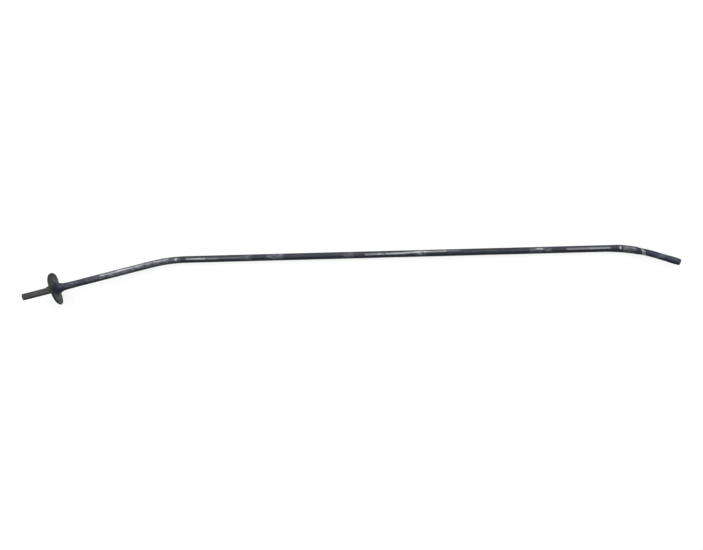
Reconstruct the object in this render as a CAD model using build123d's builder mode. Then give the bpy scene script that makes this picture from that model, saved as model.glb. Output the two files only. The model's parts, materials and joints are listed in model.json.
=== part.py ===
from build123d import *
from math import asin, cos, radians, sin, sqrt, tan
import os

# A drill-driven paint mixing rod, in millimetres: a bare hexagonal shank, a coated
# guard disc welded to it, and a long coated rod with two gentle bends to the same side.
# It lies on the ground on its long middle run and on the rim of the disc.

# Centre line, measured along the legs to the corner points of the two bends
SHANK_END_TO_BEND = 199.5
MIDDLE_LENGTH = 642.0
BEND_TO_TIP = 66.0
SHANK_BEND_ANGLE = radians(14.9)
TIP_BEND_ANGLE = radians(21.7)
SHANK_BEND_RADIUS = 195.0
TIP_BEND_RADIUS = 175.0

# Round bar and the layers on it
BAR_RADIUS = 4.0
SLEEVE_RADIUS = 4.7
BAND_RADIUS = 4.65
BAND_LENGTH = 5.0
CAP_RADIUS = 4.5
CAP_LENGTH = 49.5
CAP_END_WALL = 1.0
CAP_ROUNDING = 1.2

# Hexagonal shank: it passes through the disc and meets the bar end to end
HEX_ACROSS_FLATS = 8.0
SHANK_CHAMFER = 0.4
SHANK_LENGTH = 48.5

# Guard disc and its skin: distances along the shank from its end, and radii
PLATE_START = 43.5
PLATE_THICKNESS = 2.0
PLATE_RADIUS = 22.0
PLATE_ROUNDING = 0.5
COAT = 0.5

# Welds on both sides of the plate, and the flare of the coating from disc to rod
SHANK_WELD_RADIUS = 7.5
SHANK_WELD_TOE_RADIUS = 4.8
SHANK_WELD_LENGTH = 6.0
ROD_WELD_RADIUS = 8.0
ROD_WELD_LENGTH = 6.0
WELD_HOLLOW = 0.7
FLARE_RADIUS = 12.5
FLARE_LENGTH = 14.0

# A point on the chuck side of the disc, halfway from the weld to the rim
STOP_POINT_RADIUS = 15.0

PLATE_END = PLATE_START + PLATE_THICKNESS
DISC_START = PLATE_START - COAT
DISC_END = PLATE_END + COAT
DISC_RADIUS = PLATE_RADIUS + COAT
RIM_ROUNDING = (DISC_END - DISC_START) / 2
FLARE_END = DISC_END + FLARE_LENGTH
ROD_WELD_END = PLATE_END + ROD_WELD_LENGTH

# The plane of the bends is rolled about the middle run until the rim meets the ground:
# leg_slope is how fast the shank's leg climbs when rim and middle run both touch it.
disc_to_bend = SHANK_END_TO_BEND - (DISC_START + DISC_END) / 2
rim_circle = DISC_RADIUS - RIM_ROUNDING
axis_height = SLEEVE_RADIUS - RIM_ROUNDING
reach = disc_to_bend**2 + rim_circle**2
balance = (axis_height * disc_to_bend) ** 2 + reach * (rim_circle**2 - axis_height**2)
leg_slope = (sqrt(balance) - axis_height * disc_to_bend) / reach
roll = asin(leg_slope / sin(SHANK_BEND_ANGLE))
bend_side = Vector(0, -cos(roll), sin(roll))

# Corner points of the centre line
to_shank = Vector(-cos(SHANK_BEND_ANGLE), 0, 0) + bend_side * sin(SHANK_BEND_ANGLE)
to_tip = Vector(cos(TIP_BEND_ANGLE), 0, 0) + bend_side * sin(TIP_BEND_ANGLE)
shank_bend = Vector(0, 0, SLEEVE_RADIUS)
tip_bend = shank_bend + Vector(MIDDLE_LENGTH, 0, 0)
shank_end = shank_bend + to_shank * SHANK_END_TO_BEND
tip = tip_bend + to_tip * BEND_TO_TIP

# Planes and axis of the shank. A corner of its hexagon points up
into_rod = to_shank * -1
shank_up = (Vector(0, 0, 1) - into_rod * into_rod.Z).normalized()
shank_axis = Axis(shank_end, into_rod)
shank_face = Plane(origin=shank_end, x_dir=shank_up, z_dir=into_rod)
half_section = Plane(origin=shank_end, x_dir=into_rod, z_dir=into_rod.cross(shank_up))

with BuildLine() as centre_line:
    FilletPolyline(
        shank_end,
        shank_bend,
        tip_bend,
        tip,
        radius=(SHANK_BEND_RADIUS, TIP_BEND_RADIUS),
    )
centre_wire = centre_line.wire()
full_length = centre_wire.length
band_start = full_length - CAP_LENGTH - BAND_LENGTH
cap_start = full_length - CAP_LENGTH


def stretch(start, end):
    """The centre line from one distance along it to another."""
    return centre_wire.trim(start / full_length, end / full_length)


def across(path):
    """The plane square to a path at its start."""
    return Plane(origin=path @ 0, z_dir=path % 0)


def weld_hollow():
    """The hollow face of the rod side weld, from its toe on the plate to its toe on the bar."""
    SagittaArc((PLATE_END, ROD_WELD_RADIUS), (ROD_WELD_END, BAR_RADIUS), -WELD_HOLLOW)


# Bare hexagonal bar, chamfered where it enters the chuck
with BuildPart() as hex_shank:
    with BuildSketch(shank_face):
        RegularPolygon(HEX_ACROSS_FLATS / 2, 6, major_radius=False, rotation=0)
    extrude(amount=SHANK_LENGTH)
    chamfer(hex_shank.faces().sort_by(shank_axis)[0].edges(), SHANK_CHAMFER)

# Round bar, bent twice, from the shank to just short of the tip
bar_path = stretch(SHANK_LENGTH, full_length - CAP_END_WALL)
with BuildPart() as rod_core:
    with BuildSketch(across(bar_path)):
        Circle(BAR_RADIUS)
    sweep(path=bar_path)

# Flat steel plate with a hexagonal hole
with BuildPart() as guard_disc:
    with BuildSketch(shank_face.offset(PLATE_START)):
        Circle(PLATE_RADIUS)
        RegularPolygon(
            HEX_ACROSS_FLATS / 2, 6, major_radius=False, rotation=0, mode=Mode.SUBTRACT
        )
    extrude(amount=PLATE_THICKNESS)
    fillet(guard_disc.edges().filter_by(GeomType.CIRCLE), PLATE_ROUNDING)

# Hollow-faced fillet weld on the chuck side of the plate
with BuildPart() as shank_weld:
    with BuildSketch(half_section):
        with BuildLine():
            Polyline(
                (PLATE_START - SHANK_WELD_LENGTH, SHANK_WELD_TOE_RADIUS),
                (PLATE_START - SHANK_WELD_LENGTH, 0),
                (PLATE_START, 0),
                (PLATE_START, SHANK_WELD_RADIUS),
                (DISC_START, SHANK_WELD_RADIUS),
            )
            SagittaArc(
                (DISC_START, SHANK_WELD_RADIUS),
                (PLATE_START - SHANK_WELD_LENGTH, SHANK_WELD_TOE_RADIUS),
                WELD_HOLLOW,
            )
        make_face()
    revolve(axis=shank_axis)
    add(hex_shank.part, mode=Mode.SUBTRACT)

# Hollow-faced fillet weld that joins plate, shank and bar on the rod side
with BuildPart() as rod_weld:
    with BuildSketch(half_section):
        with BuildLine():
            weld_hollow()
            Polyline(
                (ROD_WELD_END, BAR_RADIUS),
                (ROD_WELD_END, 0),
                (PLATE_END, 0),
                (PLATE_END, ROD_WELD_RADIUS),
            )
        make_face()
    revolve(axis=shank_axis)
    add([hex_shank.part, rod_core.part], mode=Mode.SUBTRACT)

# Black skin over the plate, round at the rim, open round the weld and under the flare
with BuildPart() as disc_coating:
    with BuildSketch(half_section):
        with BuildLine():
            Polyline(
                (DISC_END, rim_circle),
                (DISC_END, FLARE_RADIUS),
                (PLATE_END, FLARE_RADIUS),
                (PLATE_END, rim_circle),
                (PLATE_START, rim_circle),
                (PLATE_START, SHANK_WELD_RADIUS),
                (DISC_START, SHANK_WELD_RADIUS),
                (DISC_START, rim_circle),
            )
            SagittaArc((DISC_START, rim_circle), (DISC_END, rim_circle), RIM_ROUNDING)
        make_face()
    revolve(axis=shank_axis)
    add(guard_disc.part, mode=Mode.SUBTRACT)

# Glossy coating of the rod, with the hollow flare that spreads onto the disc
sleeve_path = stretch(FLARE_END, band_start)
with BuildPart() as rod_sleeve:
    with BuildSketch(half_section):
        with BuildLine():
            weld_hollow()
            Polyline(
                (ROD_WELD_END, BAR_RADIUS),
                (FLARE_END, BAR_RADIUS),
                (FLARE_END, SLEEVE_RADIUS),
            )
            EllipticalCenterArc(
                (FLARE_END, FLARE_RADIUS),
                FLARE_LENGTH,
                FLARE_RADIUS - SLEEVE_RADIUS,
                start_angle=180,
                arc_size=90,
            )
            Polyline(
                (DISC_END, FLARE_RADIUS),
                (PLATE_END, FLARE_RADIUS),
                (PLATE_END, ROD_WELD_RADIUS),
            )
        make_face()
    revolve(axis=shank_axis)
    with BuildSketch(across(sleeve_path)):
        Circle(SLEEVE_RADIUS)
        Circle(BAR_RADIUS, mode=Mode.SUBTRACT)
    sweep(path=sleeve_path)

# Pale band where the glossy coating ends
band_path = stretch(band_start, cap_start)
with BuildPart() as seam_band:
    with BuildSketch(across(band_path)):
        Circle(BAND_RADIUS)
        Circle(BAR_RADIUS, mode=Mode.SUBTRACT)
    sweep(path=band_path)

# Matt sleeve over the last stretch, closed over the bar's end
cap_path = stretch(cap_start, full_length)
with BuildPart() as tip_cap:
    with BuildSketch(across(cap_path)):
        Circle(CAP_RADIUS)
    sweep(path=cap_path)
    fillet(tip_cap.faces().sort_by(Axis.X)[-1].edges(), CAP_ROUNDING)
    add(rod_core.part, mode=Mode.SUBTRACT)

hex_shank.part.label = "hex_shank"
rod_core.part.label = "rod_core"
guard_disc.part.label = "guard_disc"
shank_weld.part.label = "shank_weld"
rod_weld.part.label = "rod_weld"
disc_coating.part.label = "disc_coating"
rod_sleeve.part.label = "rod_sleeve"
seam_band.part.label = "seam_band"
tip_cap.part.label = "tip_cap"

pieces = [
    hex_shank.part,
    rod_core.part,
    guard_disc.part,
    shank_weld.part,
    rod_weld.part,
    disc_coating.part,
    rod_sleeve.part,
    seam_band.part,
    tip_cap.part,
]

# The origin is on the ground under the middle of the whole rod's box
box = Compound(pieces).bounding_box()
to_origin = Vector(-box.center().X, -box.center().Y, -box.min.Z)
os.makedirs("parts", exist_ok=True)
for piece in pieces:
    export_step(piece.moved(Location(to_origin)), f"parts/{piece.label}.step")

# Places that the record's mounts use
middle_straight = (
    MIDDLE_LENGTH
    - SHANK_BEND_RADIUS * tan(SHANK_BEND_ANGLE / 2)
    - TIP_BEND_RADIUS * tan(TIP_BEND_ANGLE / 2)
)
middle_start = shank_bend.X + SHANK_BEND_RADIUS * tan(SHANK_BEND_ANGLE / 2)
middle_centre = Vector(middle_start + middle_straight / 2, 0, SLEEVE_RADIUS)
stop_point = shank_end + into_rod * DISC_START + shank_up * STOP_POINT_RADIUS
print("size", box.size)
print("shank direction", to_shank)
print("shank end", shank_end + to_origin)
print("chuck stop", stop_point + to_origin)
print("middle run", middle_centre + to_origin, "length", middle_straight)
print("shank bend corner", shank_bend + to_origin)
print("tip bend corner", tip_bend + to_origin)
print("tip", tip + to_origin)
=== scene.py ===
import json
from math import cos, degrees, pi, radians, sin, sqrt, tan

import bmesh
import bpy
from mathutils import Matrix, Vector, noise


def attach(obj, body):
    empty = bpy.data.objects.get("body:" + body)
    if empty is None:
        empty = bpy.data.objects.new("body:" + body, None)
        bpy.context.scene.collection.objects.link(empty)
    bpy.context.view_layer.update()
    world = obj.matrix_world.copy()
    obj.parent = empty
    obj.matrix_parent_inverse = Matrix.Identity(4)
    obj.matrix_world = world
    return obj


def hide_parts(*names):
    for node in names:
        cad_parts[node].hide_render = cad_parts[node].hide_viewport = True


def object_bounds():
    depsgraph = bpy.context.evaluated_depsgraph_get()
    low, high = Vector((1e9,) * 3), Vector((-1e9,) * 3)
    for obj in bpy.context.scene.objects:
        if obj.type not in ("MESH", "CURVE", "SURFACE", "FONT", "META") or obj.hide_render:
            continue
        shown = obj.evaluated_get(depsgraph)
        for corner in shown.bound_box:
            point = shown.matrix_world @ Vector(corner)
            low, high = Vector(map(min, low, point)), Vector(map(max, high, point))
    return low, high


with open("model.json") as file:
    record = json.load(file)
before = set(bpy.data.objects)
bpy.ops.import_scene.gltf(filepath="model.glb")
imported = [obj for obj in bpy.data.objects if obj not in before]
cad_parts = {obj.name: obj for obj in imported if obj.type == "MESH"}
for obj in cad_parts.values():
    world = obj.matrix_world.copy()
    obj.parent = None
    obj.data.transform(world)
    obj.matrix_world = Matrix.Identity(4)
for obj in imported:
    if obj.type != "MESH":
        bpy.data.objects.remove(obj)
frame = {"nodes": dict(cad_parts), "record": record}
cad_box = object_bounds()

# Driving dimensions of the rod, in metres and as the CAD model has them
SHANK_END_TO_BEND = 0.1995
MIDDLE_LENGTH = 0.6420
BEND_TO_TIP = 0.0660
SHANK_BEND_ANGLE = radians(14.9)
TIP_BEND_ANGLE = radians(21.7)
SHANK_BEND_RADIUS = 0.195
TIP_BEND_RADIUS = 0.175
BAR_RADIUS = 0.0040
SLEEVE_RADIUS = 0.0047
BAND_RADIUS = 0.00465
BAND_LENGTH = 0.005
CAP_RADIUS = 0.0045
CAP_LENGTH = 0.0495
CAP_END_WALL = 0.001
HEX_APOTHEM = 0.0040
SHANK_LENGTH = 0.0485
PLATE_START = 0.0435
PLATE_END = 0.0455
PLATE_RADIUS = 0.022
COAT = 0.0005
SHANK_WELD_RADIUS = 0.0075
SHANK_WELD_TOE_RADIUS = 0.0048
SHANK_WELD_START = 0.0375
ROD_WELD_RADIUS = 0.0080
ROD_WELD_END = 0.0515
FLARE_RADIUS = 0.0125
FLARE_LENGTH = 0.014

DISC_START = PLATE_START - COAT
DISC_END = PLATE_END + COAT
DISC_RADIUS = PLATE_RADIUS + COAT
RIM_ROUNDING = (DISC_END - DISC_START) / 2
FLARE_END = DISC_END + FLARE_LENGTH

MILLIMETRE = 0.001
HAIR = 0.0001


# ---------------------------------------------------------------- centre line

mounts = {mount["name"]: mount for mount in frame["record"]["mounts"]}
shank_end = Vector(mounts["shank_end"]["pos_m"])
into_rod = -Vector(mounts["shank_end"]["axis"]).normalized()
along_middle = Vector((1, 0, 0))
bend_side = (into_rod - along_middle * into_rod.x).normalized() * -1
into_tip = along_middle * cos(TIP_BEND_ANGLE) + bend_side * sin(TIP_BEND_ANGLE)
plane_up = bend_side.cross(along_middle)
shank_bend = shank_end + into_rod * SHANK_END_TO_BEND
UPWARD = plane_up.angle(Vector((0, 0, 1)))


def lay_out_runs():
    """The straight runs and arcs of the centre line: (length, start, heading, side, radius)."""
    shank_tangent = SHANK_BEND_RADIUS * tan(SHANK_BEND_ANGLE / 2)
    tip_tangent = TIP_BEND_RADIUS * tan(TIP_BEND_ANGLE / 2)
    straights = (
        SHANK_END_TO_BEND - shank_tangent,
        MIDDLE_LENGTH - shank_tangent - tip_tangent,
        BEND_TO_TIP - tip_tangent,
    )
    headings = (into_rod, along_middle, into_tip)
    bends = ((SHANK_BEND_ANGLE, SHANK_BEND_RADIUS), (TIP_BEND_ANGLE, TIP_BEND_RADIUS), None)
    runs = []
    start = shank_end
    for i, (straight, heading, bend) in enumerate(zip(straights, headings, bends)):
        runs.append((straight, start, heading, None, None))
        start = start + heading * straight
        if bend:
            angle, radius = bend
            side = (headings[i + 1] - heading * cos(angle)).normalized()
            runs.append((angle * radius, start, heading, side, radius))
            start = start + heading * radius * sin(angle) + side * radius * (1 - cos(angle))
    return runs


runs = lay_out_runs()
full_length = sum(run[0] for run in runs)
band_start = full_length - CAP_LENGTH - BAND_LENGTH
cap_start = full_length - CAP_LENGTH
print("centre line", full_length)


def centre(distance):
    """The point and heading of the centre line at a distance from the shank's end."""
    for length, start, heading, side, radius in runs:
        if distance <= length or (start, heading) == (runs[-1][1], runs[-1][2]):
            break
        distance -= length
    if radius is None:
        return start + heading * distance, heading
    turn = distance / radius
    point = start + heading * radius * sin(turn) + side * radius * (1 - cos(turn))
    return point, heading * cos(turn) + side * sin(turn)


def place(distance, radius, angle):
    """The point at a radius and an angle round the centre line. Angle 0 is square to the bends' plane.

    What would stand out of the CAD model's box is pressed flat against it, as the floor does to a coat.
    """
    point, heading = centre(distance)
    point = point + (plane_up * cos(angle) + heading.cross(plane_up) * sin(angle)) * radius
    return Vector(min(max(p, low), high) for p, low, high in zip(point, *cad_box))


# ---------------------------------------------------------------- mesh tools


def steps(first, last, count):
    """Evenly spaced values, both ends included."""
    return [first + (last - first) * i / (count - 1) for i in range(count)]


def ease(value, first, last):
    """0 up to first, 1 from last on, and a smooth rise between."""
    t = min(1, max(0, (value - first) / (last - first)))
    return t * t * (3 - 2 * t)


def elliptic(centre_distance, centre_radius, length, height, first, last, count):
    """Points of an elliptic arc in a section, between two angles in degrees."""
    return [
        (centre_distance + length * cos(radians(a)), centre_radius + height * sin(radians(a)))
        for a in steps(first, last, count)
    ]


def lumps(distance, angle, length, seed):
    """Smooth unevenness from -1 to 1 over a coat, stretched along the rod."""
    around = 1.3
    return noise.noise(Vector((distance / length, cos(angle) * around + seed, sin(angle) * around)))


def lathe(name, outline, segments, shape=None, marks=None):
    """A mesh swept round the centre line from (distance, radius) points, which shape() may move.

    An outline is a loop, or it starts and ends on the axis. marks are functions of the distance, the
    radius and the angle. Their values are kept on the mesh for its material to read.
    """
    vertices = []
    rings = []
    values = {mark: [] for mark in marks or ()}
    for distance, radius in outline:
        count = segments if radius else 1
        rings.append(range(len(vertices), len(vertices) + count))
        for i in range(count):
            angle = 2 * pi * i / segments
            s, r = shape(distance, radius, angle) if shape and radius else (distance, radius)
            vertices.append(place(s, r, angle))
            for mark, value in values.items():
                value.append(marks[mark](distance, radius, angle))
    solid = len(rings[0]) == 1
    pairs = list(zip(rings, rings[1:]))
    if not solid:
        pairs.append((rings[-1], rings[0]))
    faces = []
    for a, b in pairs:
        for i in range(segments):
            j = (i + 1) % segments
            corners = [a[i % len(a)], a[j % len(a)], b[j % len(b)], b[i % len(b)]]
            faces.append(list(dict.fromkeys(corners)))
    mesh = bpy.data.meshes.new(name)
    mesh.from_pydata(vertices, [], faces)
    mesh.validate()
    for mark, value in values.items():
        mesh.attributes.new(mark, "FLOAT", "POINT").data.foreach_set("value", value)
    piece = bpy.data.objects.new(name, mesh)
    bpy.context.scene.collection.objects.link(piece)
    return piece


def finish_piece(piece, node, material, smooth_angle=35):
    """Smooth shading with sharp creases kept, a material, and its place in the frame."""
    shell = bmesh.new()
    shell.from_mesh(piece.data)
    bmesh.ops.recalc_face_normals(shell, faces=shell.faces)
    for edge in shell.edges:
        edge.smooth = len(edge.link_faces) == 2 and edge.calc_face_angle(0) < radians(smooth_angle)
    shell.to_mesh(piece.data)
    shell.free()
    piece.data.polygons.foreach_set("use_smooth", [True] * len(piece.data.polygons))
    piece.data.materials.append(material)
    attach(piece, "root")
    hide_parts(node)
    return piece


# ---------------------------------------------------------------- materials


def principled(name, colour, roughness, metallic=0.0):
    """A material with its node tree and its shader."""
    material = bpy.data.materials.new(name)
    material.use_nodes = True
    tree = material.node_tree
    shader = tree.nodes["Principled BSDF"]
    shader.inputs["Base Color"].default_value = (*colour, 1)
    shader.inputs["Roughness"].default_value = roughness
    shader.inputs["Metallic"].default_value = metallic
    return material, tree, shader


def pattern(tree, scale, detail=3.0, stretch=(1, 1, 1), turn=(0, 0, 0)):
    """Noise over the piece: scale in features per metre, stretch and turn as the Mapping node has them."""
    place_node = tree.nodes.new("ShaderNodeTexCoord")
    mapping = tree.nodes.new("ShaderNodeMapping")
    mapping.inputs["Scale"].default_value = stretch
    mapping.inputs["Rotation"].default_value = turn
    texture = tree.nodes.new("ShaderNodeTexNoise")
    texture.inputs["Scale"].default_value = scale
    texture.inputs["Detail"].default_value = detail
    tree.links.new(place_node.outputs["Object"], mapping.inputs["Vector"])
    tree.links.new(mapping.outputs["Vector"], texture.inputs["Vector"])
    return texture.outputs["Fac"]


def ramp(tree, value, stops):
    """A colour or grey ramp over a value."""
    node = tree.nodes.new("ShaderNodeValToRGB")
    band = node.color_ramp
    while len(band.elements) < len(stops):
        band.elements.new(0.5)
    for element, (position, colour) in zip(band.elements, stops):
        element.position = position
        element.color = (*colour, 1) if isinstance(colour, tuple) else (colour, colour, colour, 1)
    tree.links.new(value, node.inputs["Fac"])
    return node.outputs["Color"]


def mark(tree, name):
    """A value that the mesh carries at its points."""
    node = tree.nodes.new("ShaderNodeAttribute")
    node.attribute_name = name
    return node.outputs["Fac"]


def multiply(tree, a, b):
    """The product of two values, at most 1."""
    node = tree.nodes.new("ShaderNodeMath")
    node.operation = "MULTIPLY"
    node.use_clamp = True
    tree.links.new(a, node.inputs[0])
    tree.links.new(b, node.inputs[1])
    return node.outputs["Value"]


def blend_colour(tree, factor, a, b):
    """Colour a, or an output that gives it, passing over into colour b."""
    node = tree.nodes.new("ShaderNodeMix")
    node.data_type = "RGBA"
    tree.links.new(factor, node.inputs["Factor"])
    for name, colour in (("A", a), ("B", b)):
        socket = next(i for i in node.inputs if i.name == name and i.type == "RGBA")
        if isinstance(colour, tuple):
            socket.default_value = (*colour, 1)
        else:
            tree.links.new(colour, socket)
    return next(o for o in node.outputs if o.type == "RGBA")


def bump(tree, shader, height, distance, strength=1.0):
    """Fine relief on a shader, a given height in metres."""
    node = tree.nodes.new("ShaderNodeBump")
    node.inputs["Distance"].default_value = distance
    node.inputs["Strength"].default_value = strength
    tree.links.new(height, node.inputs["Height"])
    tree.links.new(node.outputs["Normal"], shader.inputs["Normal"])


def gloss_coat():
    """Blue-black dip coating: dull all over, with glossy patches, grey dust that is paler on its upper side
    as painted sheen, and a few pale spots painted as glints.
    """
    material, tree, shader = principled("gloss_coat", (0.008, 0.010, 0.014), 0.5)
    shader.inputs["Specular IOR Level"].default_value = 0.18
    shader.inputs["Coat Roughness"].default_value = 0.12
    shader.inputs["Coat IOR"].default_value = 1.75
    blotches = ramp(tree, pattern(tree, 170, 3, (0.3, 1, 1)), ((0.36, 0.45), (0.54, 1.0)))
    shine = multiply(tree, mark(tree, "shine"), blotches)
    tree.links.new(shine, shader.inputs["Coat Weight"])
    rough = ramp(tree, pattern(tree, 240, 3, (0.3, 1, 1)), ((0.35, 0.42), (0.65, 0.60)))
    tree.links.new(rough, shader.inputs["Roughness"])
    tint = ramp(
        tree,
        pattern(tree, 40, 2),
        ((0.35, (0.004, 0.008, 0.010)), (0.5, (0.004, 0.006, 0.013)), (0.65, (0.008, 0.005, 0.013))),
    )
    speckle = ramp(tree, pattern(tree, 420, 4, (0.35, 1, 1)), ((0.40, 0.1), (0.62, 1.0)))
    dust_and_sheen = multiply(tree, mark(tree, "dust_and_sheen"), speckle)
    # grey dust, made paler on the upper side turned to the lights: painted sheen
    dust_and_sheen_colour = blend_colour(tree, dust_and_sheen, tint, (0.078, 0.080, 0.090))
    # painted glints: pale spots on the upper side at the two bends
    glinted = blend_colour(tree, mark(tree, "painted_glint"), dust_and_sheen_colour, (0.16, 0.165, 0.18))
    tree.links.new(glinted, shader.inputs["Base Color"])
    bump(tree, shader, pattern(tree, 260, 3, (0.25, 1, 1)), 0.0003, 0.4)
    return material


def disc_coat():
    """Satin black coat of the guard disc, greyer outside, and blue-black where the flare runs onto it."""
    material, tree, shader = principled("disc_coat", (0.008, 0.009, 0.009), 0.5)
    shader.inputs["Specular IOR Level"].default_value = 0.14
    bloom = pattern(tree, 160, 4)
    grey = ramp(tree, bloom, ((0.35, (0.004, 0.005, 0.005)), (0.7, (0.015, 0.017, 0.016))))
    patchy = ramp(tree, pattern(tree, 90, 2), ((0.3, 0.6), (0.5, 1.0)))
    ragged = multiply(tree, mark(tree, "flare"), patchy)
    colour = blend_colour(tree, ragged, grey, (0.004, 0.007, 0.014))
    tree.links.new(colour, shader.inputs["Base Color"])
    rough = ramp(tree, pattern(tree, 300, 3), ((0.35, 0.40), (0.7, 0.62)))
    tree.links.new(rough, shader.inputs["Roughness"])
    bump(tree, shader, pattern(tree, 500, 3), 0.0002, 0.5)
    return material


def matt_coat():
    """Matt purple-black coat of the tip, mottled with blue-grey."""
    material, tree, shader = principled("matt_coat", (0.008, 0.008, 0.012), 0.6)
    shader.inputs["Specular IOR Level"].default_value = 0.22
    mottle = ramp(
        tree,
        pattern(tree, 130, 3, (0.5, 1, 1)),
        ((0.35, (0.003, 0.003, 0.010)), (0.5, (0.006, 0.006, 0.018)), (0.64, (0.024, 0.034, 0.040))),
    )
    tree.links.new(mottle, shader.inputs["Base Color"])
    rough = ramp(tree, pattern(tree, 300, 3), ((0.35, 0.45), (0.7, 0.7)))
    tree.links.new(rough, shader.inputs["Roughness"])
    bump(tree, shader, pattern(tree, 900, 3), 0.0001, 0.6)
    return material


def seam_grey():
    """Pale scuffed edge where the glossy coat ends."""
    material, tree, shader = principled("seam_grey", (0.10, 0.105, 0.11), 0.5)
    colour = ramp(
        tree, pattern(tree, 450, 3), ((0.4, (0.015, 0.016, 0.019)), (0.6, (0.12, 0.125, 0.13)))
    )
    tree.links.new(colour, shader.inputs["Base Color"])
    bump(tree, shader, pattern(tree, 900, 3), 0.0002, 0.6)
    return material


def bare_steel():
    """Dull bare steel, drawn lengthwise, and darker in patches towards the weld at the disc."""
    material, tree, shader = principled("bare_steel", (0.02, 0.02, 0.019), 0.5, 0.7)
    shader.inputs["Specular IOR Level"].default_value = 0.35
    clean = ramp(
        tree, pattern(tree, 260, 4), ((0.3, (0.009, 0.009, 0.008)), (0.7, (0.030, 0.030, 0.029)))
    )
    patchy = ramp(tree, pattern(tree, 220, 3), ((0.4, 0.3), (0.55, 1.0)))
    # darker in patches over the shank's last stretch before the weld at the disc
    darker_patches = multiply(tree, mark(tree, "heat"), patchy)
    colour = blend_colour(tree, darker_patches, clean, (0.008, 0.008, 0.009))
    tree.links.new(colour, shader.inputs["Base Color"])
    drawn = pattern(tree, 1500, 2, (0.05, 1, 1), (0, 0, radians(-13)))
    rough = ramp(tree, drawn, ((0.3, 0.42), (0.7, 0.62)))
    tree.links.new(rough, shader.inputs["Roughness"])
    bump(tree, shader, drawn, 0.00008, 0.6)
    return material


def weld_metal():
    """Dark, scaly weld bead."""
    material, tree, shader = principled("weld_metal", (0.03, 0.03, 0.03), 0.55, 0.6)
    colour = ramp(
        tree, pattern(tree, 450, 4), ((0.35, (0.010, 0.010, 0.011)), (0.65, (0.075, 0.073, 0.070)))
    )
    tree.links.new(colour, shader.inputs["Base Color"])
    bump(tree, shader, pattern(tree, 800, 3), 0.0003, 0.7)
    return material


# ---------------------------------------------------------------- pieces

SKIN_SEGMENTS = 48
DISC_SEGMENTS = 120
SWELL_HEIGHT = 0.00055
SWELL_START = band_start - 0.050
SWELL_FULL = band_start - 0.028
SWELL_END = band_start - 0.006
POOL_HEIGHT = 0.00015
POOL_REACH = 0.016
SEAM_SLANT = 0.0025
SEAM_SLANT_REACH = 0.008

# Wear, dust with painted sheen, and painted glints, listed one by one. Places lie along the frame's X axis,
# in metres.
# Turns are in degrees, from straight up towards the far side. A glossy patch: start, end, its turn at
# either, and strength.
GLOSSY = (
    (-0.344, -0.323, 28, 30, 0.6),
    (-0.321, -0.289, 28, 32, 1.0),
    (-0.287, -0.256, 34, 30, 0.55),
    (-0.228, -0.205, 2, 3, 1.0),
    (-0.204, -0.186, 3, 2, 0.6),
    (-0.186, -0.158, 2, 1, 0.25),
    (0.019, 0.030, 4, 4, 0.7),
    (0.032, 0.042, 4, 6, 1.0),
    (0.046, 0.070, 7, 10, 1.0),
    (0.073, 0.093, 17, 26, 1.0),
    (0.099, 0.127, 29, 34, 1.0),
    (0.124, 0.145, 39, 40, 0.4),
    (0.255, 0.260, 28, 28, 0.7),
    (0.297, 0.327, 6, 8, 0.5),
    (0.327, 0.353, 8, 8, 0.7),
)
PATCH_HALF_WIDTH = 15
PATCH_FADE = 12
# A stretch of dust, paler on its upper side as painted sheen: start, end, strength
DUST_AND_SHEEN = (
    (-0.390, -0.346, 0.35),
    (-0.346, -0.256, 1.0),
    (-0.256, -0.240, 0.5),
    (-0.154, -0.141, 0.5),
    (-0.117, -0.097, 0.6),
    (-0.011, -0.001, 0.6),
    (0.088, 0.099, 0.9),
    (0.246, 0.272, 0.5),
    (0.375, 0.388, 0.8),
)
# A painted glint at a bend: place, turn, half length and half width, all but the turn in metres
PAINTED_GLINTS = ((-0.2443, 9, 0.0028, 0.0026), (0.3688, 14, 0.0018, 0.0026))
WEAR_FADE = 0.004


def far_turn(angle):
    """How far an angle round the rod is turned from straight up towards the far side, in degrees."""
    return (degrees(UPWARD - angle) + 180) % 360 - 180


def worn(x, first, last, strength):
    """The strength of a worn stretch at a place along the frame, with soft ends."""
    return strength * ease(x, first - WEAR_FADE, first) * (1 - ease(x, last, last + WEAR_FADE))


def gloss(distance, radius, angle):
    """How glossy the rod's coat is at a place."""
    x = centre(distance)[0].x
    best = 0
    for first, last, turn_first, turn_last, strength in GLOSSY:
        turn = turn_first + (turn_last - turn_first) * min(1, max(0, (x - first) / (last - first)))
        away = abs(far_turn(angle) - turn)
        across = 1 - ease(away, PATCH_HALF_WIDTH - PATCH_FADE / 2, PATCH_HALF_WIDTH + PATCH_FADE / 2)
        best = max(best, across * worn(x, first, last, strength))
    return best


def dust_and_sheen(distance, radius, angle):
    """How much grey the rod's coat has at a place: dust in stretches, palest on the upper side turned to the
    lights as painted sheen, and least on its underside.
    """
    least = 0.25
    palest_turn = 25
    x = centre(distance)[0].x
    # painted sheen: the grey is palest on the side turned towards the lights
    upper = ease(cos(radians(far_turn(angle) - palest_turn)), 0.3, 0.95)
    return (least + (1 - least) * upper) * max(worn(x, *stretch) for stretch in DUST_AND_SHEEN)


def painted_glint(distance, radius, angle):
    """Small pale spots painted on the upper side of the coat at the two bends, as glints."""
    x = centre(distance)[0].x
    best = 0
    for glint_x, turn, half_length, half_width in PAINTED_GLINTS:
        across = radians(far_turn(angle) - turn) * SLEEVE_RADIUS
        away = sqrt(((x - glint_x) / half_length) ** 2 + (across / half_width) ** 2)
        best = max(best, 1 - ease(away, 0.5, 1))
    return best


def seam_slant(distance, angle):
    """How far the slanting seam, and the coats that meet it, lie ahead of their square place."""
    before = ease(distance, band_start - SEAM_SLANT_REACH, band_start)
    after = 1 - ease(distance, cap_start, cap_start + SEAM_SLANT_REACH)
    return SEAM_SLANT * sin(angle) * before * after


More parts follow.
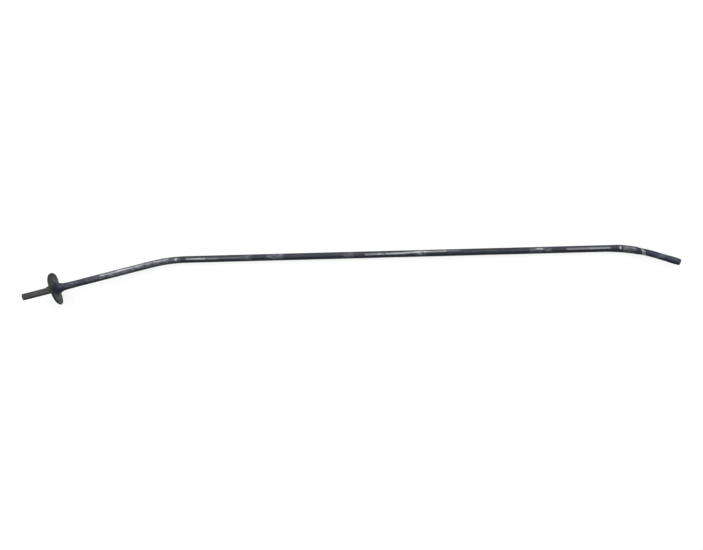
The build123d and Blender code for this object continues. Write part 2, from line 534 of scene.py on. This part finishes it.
def make_rod_skin(material):
    """The glossy coating: flare, a thicker pool past it, long uneven sleeve, and a swelling near its end."""
    fine_step = 0.0013
    coarse_step = 0.006

    def shape(distance, radius, angle):
        if radius < BAR_RADIUS + HAIR or distance < DISC_END + MILLIMETRE:
            return distance, radius
        fade = ease(distance, DISC_END, FLARE_END)
        swell = ease(distance, SWELL_START, SWELL_FULL)
        swell *= 1 - ease(distance, SWELL_END, band_start)
        uneven = 0.08 * lumps(distance, angle, 0.030, 1) + 0.04 * lumps(distance, angle, 0.011, 7)
        pool = 1 - ease(distance, FLARE_END, FLARE_END + POOL_REACH)
        grown = radius + swell * SWELL_HEIGHT + fade * (pool * POOL_HEIGHT + uneven * MILLIMETRE)
        return distance + seam_slant(distance, angle), grown

    flare = elliptic(
        FLARE_END, FLARE_RADIUS, FLARE_LENGTH, FLARE_RADIUS - SLEEVE_RADIUS, 180, 270, 25
    )
    long_count = int((band_start - FLARE_END) / fine_step)
    outer = [(s, SLEEVE_RADIUS) for s in steps(FLARE_END, band_start - 0.0006, long_count)][1:]
    end = [(band_start - 0.0002, SLEEVE_RADIUS - HAIR), (band_start, SLEEVE_RADIUS - 0.0003)]
    inner_count = int((band_start - ROD_WELD_END) / coarse_step)
    inner = [(s, BAR_RADIUS) for s in steps(band_start, ROD_WELD_END, inner_count)]
    base = [(PLATE_END, ROD_WELD_RADIUS), (PLATE_END, FLARE_RADIUS)]
    marks = {"shine": gloss, "dust_and_sheen": dust_and_sheen, "painted_glint": painted_glint}
    outline = flare + outer + end + inner + base
    piece = lathe("rod_skin", outline, SKIN_SEGMENTS, shape, marks)
    return finish_piece(piece, "rod_sleeve", material)


# The plate is knocked a little out of true: its near side leans to the rod, and its top and bottom to
# the chuck, most of all between the top and the far side. Turns start on the far side, at +Y, and pass
# over the top.
LEAN_ALL = 0.0003
LEAN_FAR = 0.0006
LEAN_TOP = 0.0005
LEAN_SADDLE = 0.0008
LEAN_SKEW = 0.00055
LEAN_WAVE = 0.0005


def disc_bend(radius, angle):
    """How far a place on the plate leans to the chuck."""
    turn = angle - UPWARD + pi / 2
    lean = LEAN_ALL + LEAN_FAR * cos(turn) + LEAN_TOP * sin(turn)
    lean += LEAN_SKEW * sin(2 * turn) - LEAN_SADDLE * cos(2 * turn) + LEAN_WAVE * sin(3 * turn)
    return lean * ease(radius, FLARE_RADIUS, DISC_RADIUS)


def flare_spread(distance, radius, angle):
    """How much the rod's coat covers a place on the disc. It spreads furthest to the near side and down."""
    spread = 0.0040
    edge = 0.003
    reach = FLARE_RADIUS + spread - spread * sin(angle - UPWARD + pi / 2 + radians(45))
    on_rod_side = ease(distance, PLATE_START, DISC_END)
    return on_rod_side * (1 - ease(radius, reach, reach + edge))


def make_disc_skin(material):
    """The coat of the guard disc: two faces with soft unevenness and a full round rim."""
    dent = 0.12 * MILLIMETRE
    dent_size = 0.006
    flare_margin = 0.004
    rim_margin = 0.002

    def shape(distance, radius, angle):
        bent = distance - disc_bend(radius, angle)
        depth = min(abs(distance - DISC_START), abs(distance - DISC_END))
        if depth > HAIR or radius < FLARE_RADIUS + MILLIMETRE:
            return bent, radius
        out = -1 if distance < PLATE_START else 1
        fade = ease(radius, FLARE_RADIUS, FLARE_RADIUS + flare_margin)
        fade *= 1 - ease(radius, rim_circle - rim_margin, rim_circle)
        uneven = noise.noise(Vector((cos(angle), sin(angle), out * 2.0)) * radius / dent_size)
        return bent - out * (0.5 + 0.5 * uneven) * fade * dent, radius

    rim_circle = DISC_RADIUS - RIM_ROUNDING
    middle = (DISC_START + DISC_END) / 2
    chuck_side = [(DISC_START, r) for r in steps(SHANK_WELD_RADIUS, rim_circle, 15)]
    rim = elliptic(middle, rim_circle, -RIM_ROUNDING, RIM_ROUNDING, 0, 180, 17)[1:-1]
    rod_side = [(DISC_END, r) for r in steps(rim_circle, FLARE_RADIUS, 12)]
    inner = [
        (PLATE_END, FLARE_RADIUS),
        *plate_edge(),
        (PLATE_START, SHANK_WELD_RADIUS),
    ]
    outline = chuck_side + rim + rod_side + inner
    piece = lathe("disc_skin", outline, DISC_SEGMENTS, shape, {"flare": flare_spread})
    return finish_piece(piece, "disc_coating", material)


def plate_edge():
    """The section of the steel plate's rim, from its rod side to its chuck side."""
    cut = 0.0005
    innermost = FLARE_RADIUS + MILLIMETRE
    return [
        *[(PLATE_END, r) for r in steps(innermost, PLATE_RADIUS - cut, 8)],
        (PLATE_END - cut, PLATE_RADIUS),
        (PLATE_START + cut, PLATE_RADIUS),
        *[(PLATE_START, r) for r in steps(PLATE_RADIUS - cut, innermost, 8)],
    ]


def make_steel_plate(material):
    """The steel plate inside its coat, out of true with it. Its hole is as wide as the shank's corners."""
    hole = HEX_APOTHEM / cos(pi / 6)

    def shape(distance, radius, angle):
        return distance - disc_bend(radius, angle), radius

    outline = [(PLATE_END, hole), (PLATE_END, FLARE_RADIUS), *plate_edge()]
    outline += [(PLATE_START, FLARE_RADIUS), (PLATE_START, hole)]
    piece = lathe("steel_plate", outline, DISC_SEGMENTS, shape)
    return finish_piece(piece, "guard_disc", material)


def darkening_near_disc(distance, radius, angle):
    """How much darker a place on the shank is made, rising towards the weld at the disc."""
    reach = 0.011
    return ease(distance, SHANK_WELD_START - reach, SHANK_WELD_START)


def hexagon(angle):
    """The radius of the shank at an angle: flats and softened corners, with one corner straight up."""
    side_angle = pi / 3
    softening = 0.0001
    up = (Vector((0, 0, 1)) - into_rod * into_rod.z).normalized()
    corner = plane_up.angle(up) * (1 if into_rod.cross(plane_up).dot(up) > 0 else -1)
    from_flat = (angle - corner - side_angle / 2) % side_angle - side_angle / 2
    return min(HEX_APOTHEM / cos(from_flat), HEX_APOTHEM / cos(side_angle / 2) - softening)


def make_drill_shank(material):
    """Hexagonal bar with softened corners and a turned chamfer."""
    turned_start = HEX_APOTHEM + HAIR
    turned_slope = tan(radians(60))

    def shape(distance, radius, angle):
        turned = turned_start + distance * turned_slope
        return distance, radius * min(hexagon(angle), turned)

    chamfer_rows = steps(0, 0.0012, 9)
    long_rows = steps(0.0018, SHANK_LENGTH, 30)
    sides = [(s, 1.0) for s in chamfer_rows + long_rows]
    outline = [(0, 0), (0, 0.35), (0, 0.7), *sides, (SHANK_LENGTH, 0)]
    piece = lathe("drill_shank", outline, 96, shape, {"heat": darkening_near_disc})
    return finish_piece(piece, "hex_shank", material, 20)


def make_weld_bead(material):
    """Rippled fillet weld between shank and disc. It runs far out along the shank on the far side."""
    ripples = 17
    scale_size = 0.0025
    long_side_turn = 80
    long_toe = 0.0075
    build_up = 0.0013
    bore = HEX_APOTHEM - 0.0002

    def shape(distance, radius, angle):
        if radius < SHANK_WELD_TOE_RADIUS - HAIR or distance > DISC_START - HAIR:
            return distance, radius
        far = max(0, cos(radians(far_turn(angle) - long_side_turn))) ** 1.5
        out = (DISC_START - distance) / (DISC_START - SHANK_WELD_START)
        ripple = sin(ripples * angle + 2 * noise.noise(Vector((angle, 3, 0))))
        ripple += noise.noise(Vector((distance / scale_size, cos(angle) * 3, sin(angle) * 3)))
        grown = radius + HAIR * ripple + build_up * far * (1 - out**3)
        grown += (hexagon(angle) + HAIR - grown) * ease(out, 0.6, 1)
        return distance - long_toe * far * out, grown

    length = DISC_START - SHANK_WELD_START
    height = SHANK_WELD_RADIUS - SHANK_WELD_TOE_RADIUS
    face = elliptic(SHANK_WELD_START, SHANK_WELD_RADIUS, length, height, 270, 360, 19)
    outline = [(SHANK_WELD_START, bore), *face, (PLATE_START, SHANK_WELD_RADIUS), (PLATE_START, bore)]
    piece = lathe("weld_bead", outline, 136, shape)
    return finish_piece(piece, "shank_weld", material)


def make_seam_ring(material):
    """Uneven, slanting ring where the glossy coat ends."""

    def shape(distance, radius, angle):
        slanted = distance + seam_slant(distance, angle)
        if radius < BAR_RADIUS + HAIR:
            return slanted, radius
        return slanted, radius + 0.08 * lumps(distance, angle, 0.003, 4) * MILLIMETRE

    outer = [(s, BAND_RADIUS) for s in steps(band_start, cap_start, 9)]
    inner = [(cap_start, BAR_RADIUS), (band_start, BAR_RADIUS)]
    piece = lathe("seam_ring", outer + inner, SKIN_SEGMENTS, shape)
    return finish_piece(piece, "seam_band", material)


def make_end_sleeve(material):
    """Matt sleeve of the tip, a little fuller towards its rounded end."""
    nose_length = 0.0015
    fullness = 0.25

    def shape(distance, radius, angle):
        slanted = distance + seam_slant(distance, angle)
        if radius < BAR_RADIUS + HAIR or distance > full_length - nose_length:
            return slanted, radius
        full = ease(distance, full_length - 0.020, full_length - 0.010)
        full *= 1 - ease(distance, full_length - 0.006, full_length - nose_length)
        uneven = 0.05 * lumps(distance, angle, 0.008, 9)
        return slanted, radius + (fullness * full + uneven) * MILLIMETRE

    rounding = 0.0014
    outer = [(s, CAP_RADIUS) for s in steps(cap_start, full_length - rounding, 44)]
    nose = elliptic(full_length - rounding, CAP_RADIUS - rounding, rounding, rounding, 90, 0, 9)[1:]
    face = [(full_length, 0.0018), (full_length, 0)]
    inner_end = full_length - CAP_END_WALL
    bore = [(inner_end, 0), (inner_end, BAR_RADIUS), (cap_start, BAR_RADIUS)]
    outline = [*bore, *outer, *nose, *face]
    piece = lathe("end_sleeve", outline, SKIN_SEGMENTS, shape)
    return finish_piece(piece, "tip_cap", material)


steel = bare_steel()
weld = weld_metal()
make_rod_skin(gloss_coat())
make_disc_skin(disc_coat())
make_drill_shank(steel)
make_weld_bead(weld)
make_seam_ring(seam_grey())
make_end_sleeve(matt_coat())
make_steel_plate(steel)
for node, material in (("rod_core", steel), ("rod_weld", weld)):
    frame["nodes"][node].data.materials.clear()
    frame["nodes"][node].data.materials.append(material)


# ---------------------------------------------------------------- floor, lights and camera


def make_floor():
    """A plain pale floor, lit a little from below like a light table."""
    half = 3.0
    mesh = bpy.data.meshes.new("floor")
    corners = [(-half, -half, 0), (half, -half, 0), (half, half, 0), (-half, half, 0)]
    mesh.from_pydata(corners, [], [(0, 1, 2, 3)])
    floor = bpy.data.objects.new("floor", mesh)
    bpy.context.scene.collection.objects.link(floor)
    material, _, shader = principled("floor", (0.12, 0.12, 0.12), 0.9)
    shader.inputs["Specular IOR Level"].default_value = 0.1
    shader.inputs["Emission Color"].default_value = (1, 1, 1, 1)
    shader.inputs["Emission Strength"].default_value = 0.78
    mesh.materials.append(material)


def soft_box(name, place_at, aim_at, depth, radiance):
    """A long rectangular soft box aimed at a point. Its length runs along the rod."""
    length = 2.6
    data = bpy.data.lights.new(name, "AREA")
    data.shape = "RECTANGLE"
    data.size = length
    data.size_y = depth
    data.energy = radiance * pi * length * depth
    light = bpy.data.objects.new(name, data)
    light.location = place_at
    light.rotation_euler = (Vector(aim_at) - Vector(place_at)).to_track_quat("-Z", "Y").to_euler()
    light.visible_camera = False
    bpy.context.scene.collection.objects.link(light)


def make_lights():
    """Soft boxes overhead and behind the far side of the rod, in a pale blue-white room."""
    soft_box("top_box", (0, 0.65, 1.9), (0, 0.65, 0), 2.5, 4.5)
    soft_box("far_box", (0, 1.9, 1.1), (0, 0, 0.3), 1.5, 5.5)
    world = bpy.data.worlds.new("room")
    world.use_nodes = True
    background = world.node_tree.nodes["Background"]
    background.inputs["Color"].default_value = (0.90, 0.95, 1.0, 1)
    background.inputs["Strength"].default_value = 0.45
    bpy.context.scene.world = world


def make_camera():
    """Straight down on the rod, turned so that the middle run climbs slightly to the right."""
    height = 1.0345
    look_at = shank_bend + Vector((0.25277, -0.02746, 0))
    climb = radians(1.505)
    data = bpy.data.cameras.new("camera")
    data.sensor_width = 36
    data.lens = 38.1
    data.clip_start = 0.01
    camera = bpy.data.objects.new("camera", data)
    camera.location = (look_at.x, look_at.y, height)
    camera.rotation_euler = (0, 0, -climb)
    bpy.context.scene.collection.objects.link(camera)
    bpy.context.scene.camera = camera


make_floor()
make_lights()
make_camera()
bpy.context.scene.view_settings.view_transform = "Standard"
